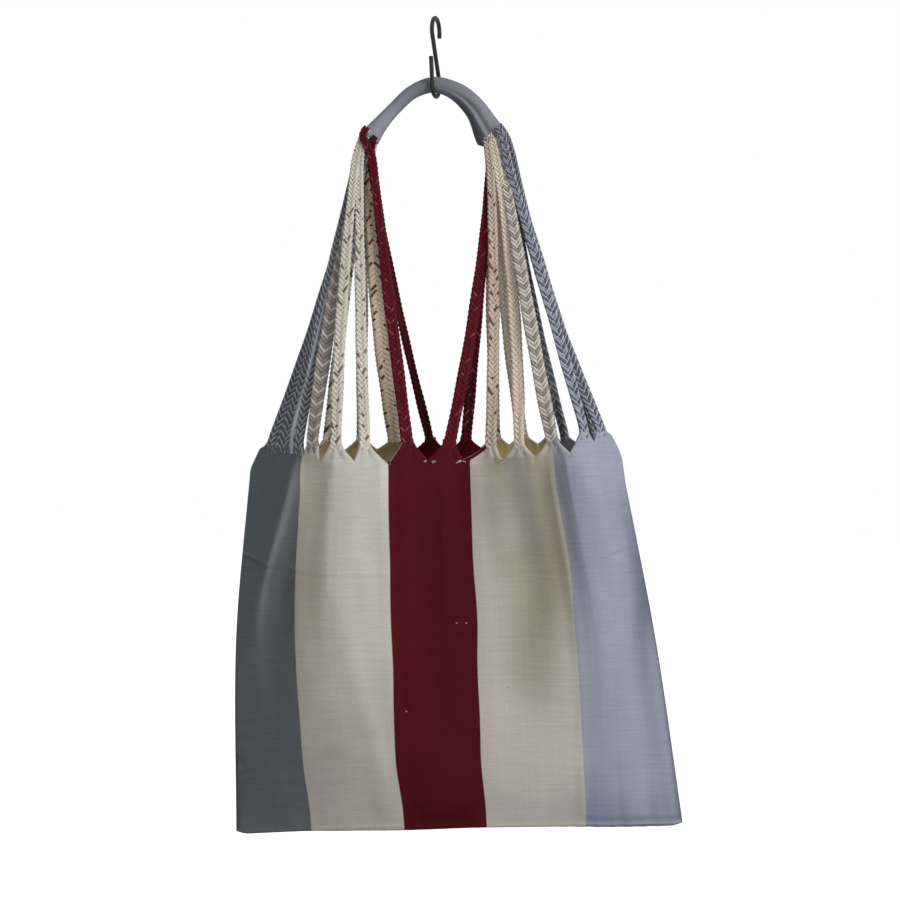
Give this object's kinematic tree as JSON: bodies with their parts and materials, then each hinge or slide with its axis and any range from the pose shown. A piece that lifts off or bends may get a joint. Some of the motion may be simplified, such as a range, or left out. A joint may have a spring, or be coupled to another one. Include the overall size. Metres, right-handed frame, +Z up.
{
  "type": "hammock bag on a hook",
  "caption": "Open-topped woven cotton bag with bold warp stripes, its warps gathered into flat braids that run into a wound arched handle, hanging empty on a plain wire hook.",
  "frame": {"origin": "inside top of the hook's upper bend, where the rail or peg that holds the hook touches it", "axes": "+Z up, +X to the right and +Y to the back as the striped front panel is seen"},
  "size_m": [0.4278, 0.1874, 0.7815],
  "materials": {
    "striped_cloth": "plain-woven cotton in wide warp stripes of grey, cream and dark red, matt",
    "grey_yarn": "flat plait of grey cotton yarn, matt",
    "cream_yarn": "flat plait of cream cotton yarn, matt, some with flecks of dark red or grey",
    "maroon_yarn": "flat plait of dark red cotton yarn, matt",
    "slate_cloth": "wound strip of slate-grey cotton cloth, matt",
    "black_wire": "black satin coat on round steel wire"
  },
  "bodies": {
    "root": {"bag_body": "striped_cloth", "braid_front_1": "grey_yarn", "braid_front_2": "grey_yarn", "braid_front_3": "grey_yarn", "braid_front_4": "cream_yarn", "braid_front_5": "cream_yarn", "braid_front_6": "cream_yarn", "braid_front_7": "maroon_yarn", "braid_front_8": "maroon_yarn", "braid_front_9": "cream_yarn", "braid_front_10": "cream_yarn", "braid_front_11": "cream_yarn", "braid_front_12": "grey_yarn", "braid_front_13": "grey_yarn", "braid_back_1": "grey_yarn", "braid_back_2": "grey_yarn", "braid_back_3": "cream_yarn", "braid_back_4": "cream_yarn", "braid_back_5": "cream_yarn", "braid_back_6": "maroon_yarn", "braid_back_7": "maroon_yarn", "braid_back_8": "cream_yarn", "braid_back_9": "cream_yarn", "braid_back_10": "cream_yarn", "braid_back_11": "grey_yarn", "braid_back_12": "grey_yarn", "braid_back_13": "grey_yarn", "handle_sleeve": "slate_cloth", "hook": "black_wire"}
  },
  "joints": []
}
